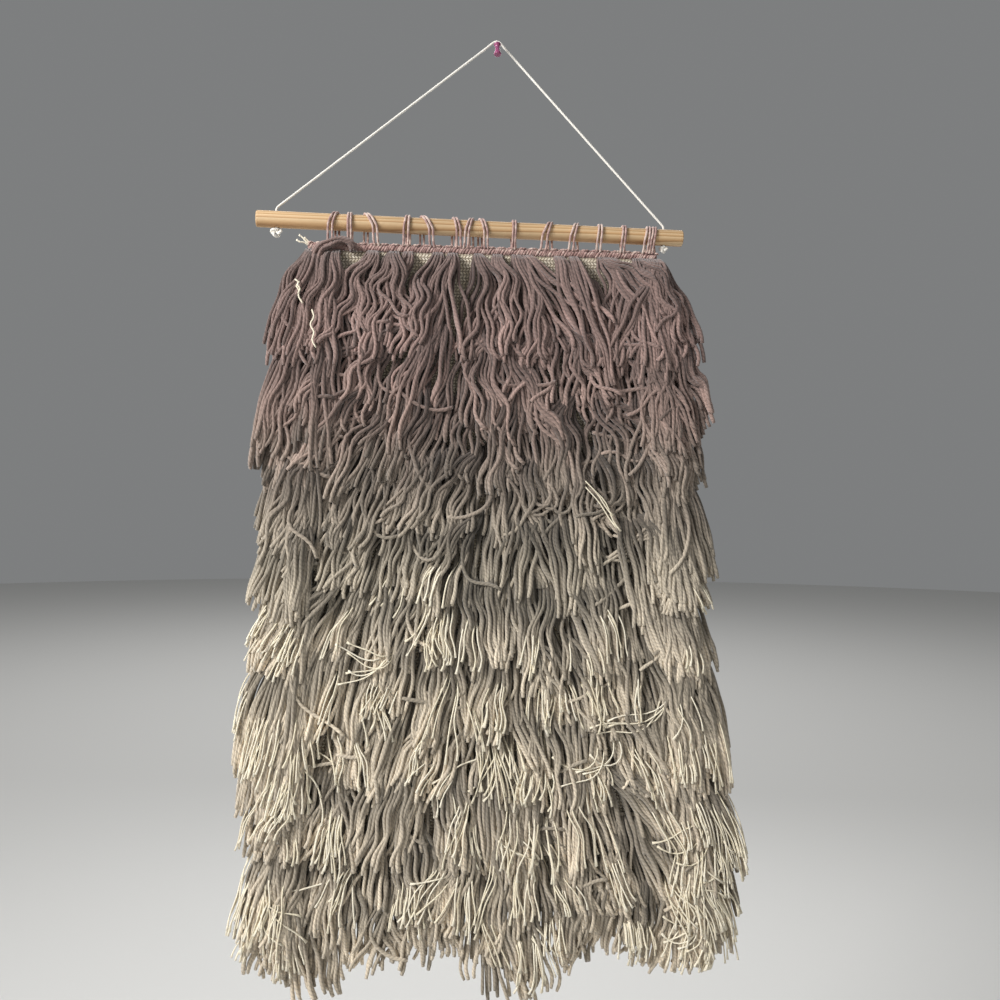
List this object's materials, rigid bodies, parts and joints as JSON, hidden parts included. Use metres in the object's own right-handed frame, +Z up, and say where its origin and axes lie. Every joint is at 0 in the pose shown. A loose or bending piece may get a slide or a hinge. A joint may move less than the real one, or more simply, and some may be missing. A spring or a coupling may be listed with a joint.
{
  "type": "tapestry wall hanging",
  "caption": "Shaggy fringed wall hanging in graded mauve to cream yarn, sewn by yarn loops to a wooden dowel and hung by a cotton cord from a pushpin.",
  "frame": {"origin": "the point on the wall plane where the pushpin's steel point goes in", "axes": "+Z up, +Y into the wall, so the front faces -Y and the viewer's right is +X"},
  "size_m": [0.4833, 0.0401, 0.9292],
  "materials": {
    "pushpin_plastic": "moulded translucent-pink plastic, glossy",
    "pushpin_steel": "drawn steel wire",
    "cotton_cord": "twisted white cotton cord, matte",
    "pine": "sanded pine dowel, bare",
    "wool_edge": "mauve wool yarn, chain stitched and looped",
    "cotton_cloth": "hand-woven cream cotton ground",
    "wool_mauve": "mauve-taupe plied wool yarn, cut ends",
    "wool_taupe": "grey-taupe plied wool yarn, cut ends",
    "wool_cream": "cream plied wool yarn with thin cotton strings, cut ends"
  },
  "bodies": {
    "pushpin": {"pushpin_needle": "pushpin_steel", "pushpin_handle": "pushpin_plastic"},
    "cord_saddle": {"cord_bight": "cotton_cord"},
    "hanger": {"cord_leg_left": "cotton_cord", "cord_leg_right": "cotton_cord", "knot_left": "cotton_cord", "knot_right": "cotton_cord", "dowel": "pine"},
    "loops": {"yarn_loop_01": "wool_edge", "yarn_loop_02": "wool_edge", "yarn_loop_03": "wool_edge", "yarn_loop_04": "wool_edge", "yarn_loop_05": "wool_edge", "yarn_loop_06": "wool_edge", "yarn_loop_07": "wool_edge", "yarn_loop_08": "wool_edge", "yarn_loop_09": "wool_edge", "yarn_loop_10": "wool_edge", "yarn_loop_11": "wool_edge", "yarn_loop_12": "wool_edge", "yarn_loop_13": "wool_edge", "yarn_loop_14": "wool_edge", "yarn_loop_15": "wool_edge"},
    "panel": {"header_edge": "wool_edge", "ground_cloth": "cotton_cloth", "knot_row_01": "wool_mauve", "knot_row_02": "wool_mauve", "knot_row_03": "wool_mauve", "knot_row_04": "wool_taupe", "knot_row_05": "wool_taupe", "knot_row_06": "wool_taupe", "knot_row_07": "wool_cream", "knot_row_08": "wool_cream", "knot_row_09": "wool_cream", "knot_row_10": "wool_cream", "knot_row_11": "wool_cream"},
    "tier_01": {"fringe_01": "wool_mauve"},
    "tier_02": {"fringe_02": "wool_mauve"},
    "tier_03": {"fringe_03": "wool_mauve"},
    "tier_04": {"fringe_04": "wool_taupe"},
    "tier_05": {"fringe_05": "wool_taupe"},
    "tier_06": {"fringe_06": "wool_taupe"},
    "tier_07": {"fringe_07": "wool_cream"},
    "tier_08": {"fringe_08": "wool_cream"},
    "tier_09": {"fringe_09": "wool_cream"},
    "tier_10": {"fringe_10": "wool_cream"},
    "tier_11": {"fringe_11": "wool_cream"}
  },
  "joints": [
    {"name": "sway", "type": "hinge", "parent": "pushpin", "child": "cord_saddle", "pos_m": [0, -0.0035, 0], "axis": [0, 1, 0], "range_deg": [-8, 8]},
    {"name": "lift_off_wall", "type": "hinge", "parent": "cord_saddle", "child": "hanger", "pos_m": [0, -0.0035, 0], "axis": [-1, 0, 0], "range_deg": [0, 25]},
    {"name": "loops_slide", "type": "slide", "parent": "hanger", "child": "loops", "axis": [0.9999, 0, -0.0148], "range_m": [-0.045, 0.002]},
    {"name": "panel_swing", "type": "hinge", "parent": "loops", "child": "panel", "pos_m": [-0.008, -0.0116, -0.2095], "axis": [-1, 0, 0], "range_deg": [0, 40]},
    {"name": "tier_01_lift", "type": "hinge", "parent": "panel", "child": "tier_01", "pos_m": [0, -0.0137, -0.217], "axis": [-1, 0, 0], "range_deg": [0, 30]},
    {"name": "tier_02_lift", "type": "hinge", "parent": "panel", "child": "tier_02", "pos_m": [0, -0.0137, -0.278], "axis": [-1, 0, 0], "range_deg": [0, 30]},
    {"name": "tier_03_lift", "type": "hinge", "parent": "panel", "child": "tier_03", "pos_m": [0, -0.0137, -0.339], "axis": [-1, 0, 0], "range_deg": [0, 30]},
    {"name": "tier_04_lift", "type": "hinge", "parent": "panel", "child": "tier_04", "pos_m": [0, -0.0137, -0.4], "axis": [-1, 0, 0], "range_deg": [0, 30]},
    {"name": "tier_05_lift", "type": "hinge", "parent": "panel", "child": "tier_05", "pos_m": [0, -0.0137, -0.461], "axis": [-1, 0, 0], "range_deg": [0, 30]},
    {"name": "tier_06_lift", "type": "hinge", "parent": "panel", "child": "tier_06", "pos_m": [0, -0.0137, -0.522], "axis": [-1, 0, 0], "range_deg": [0, 30]},
    {"name": "tier_07_lift", "type": "hinge", "parent": "panel", "child": "tier_07", "pos_m": [0, -0.0137, -0.583], "axis": [-1, 0, 0], "range_deg": [0, 30]},
    {"name": "tier_08_lift", "type": "hinge", "parent": "panel", "child": "tier_08", "pos_m": [0, -0.0137, -0.644], "axis": [-1, 0, 0], "range_deg": [0, 30]},
    {"name": "tier_09_lift", "type": "hinge", "parent": "panel", "child": "tier_09", "pos_m": [0, -0.0137, -0.705], "axis": [-1, 0, 0], "range_deg": [0, 30]},
    {"name": "tier_10_lift", "type": "hinge", "parent": "panel", "child": "tier_10", "pos_m": [0, -0.0137, -0.766], "axis": [-1, 0, 0], "range_deg": [0, 30]},
    {"name": "tier_11_lift", "type": "hinge", "parent": "panel", "child": "tier_11", "pos_m": [0, -0.0137, -0.827], "axis": [-1, 0, 0], "range_deg": [0, 30]}
  ],
  "couplings": [
    {"joint": "tier_02_lift", "follows": "tier_01_lift", "ratio": 1},
    {"joint": "tier_03_lift", "follows": "tier_01_lift", "ratio": 1},
    {"joint": "tier_04_lift", "follows": "tier_01_lift", "ratio": 1},
    {"joint": "tier_05_lift", "follows": "tier_01_lift", "ratio": 1},
    {"joint": "tier_06_lift", "follows": "tier_01_lift", "ratio": 1},
    {"joint": "tier_07_lift", "follows": "tier_01_lift", "ratio": 1},
    {"joint": "tier_08_lift", "follows": "tier_01_lift", "ratio": 1},
    {"joint": "tier_09_lift", "follows": "tier_01_lift", "ratio": 1},
    {"joint": "tier_10_lift", "follows": "tier_01_lift", "ratio": 1},
    {"joint": "tier_11_lift", "follows": "tier_01_lift", "ratio": 1}
  ]
}
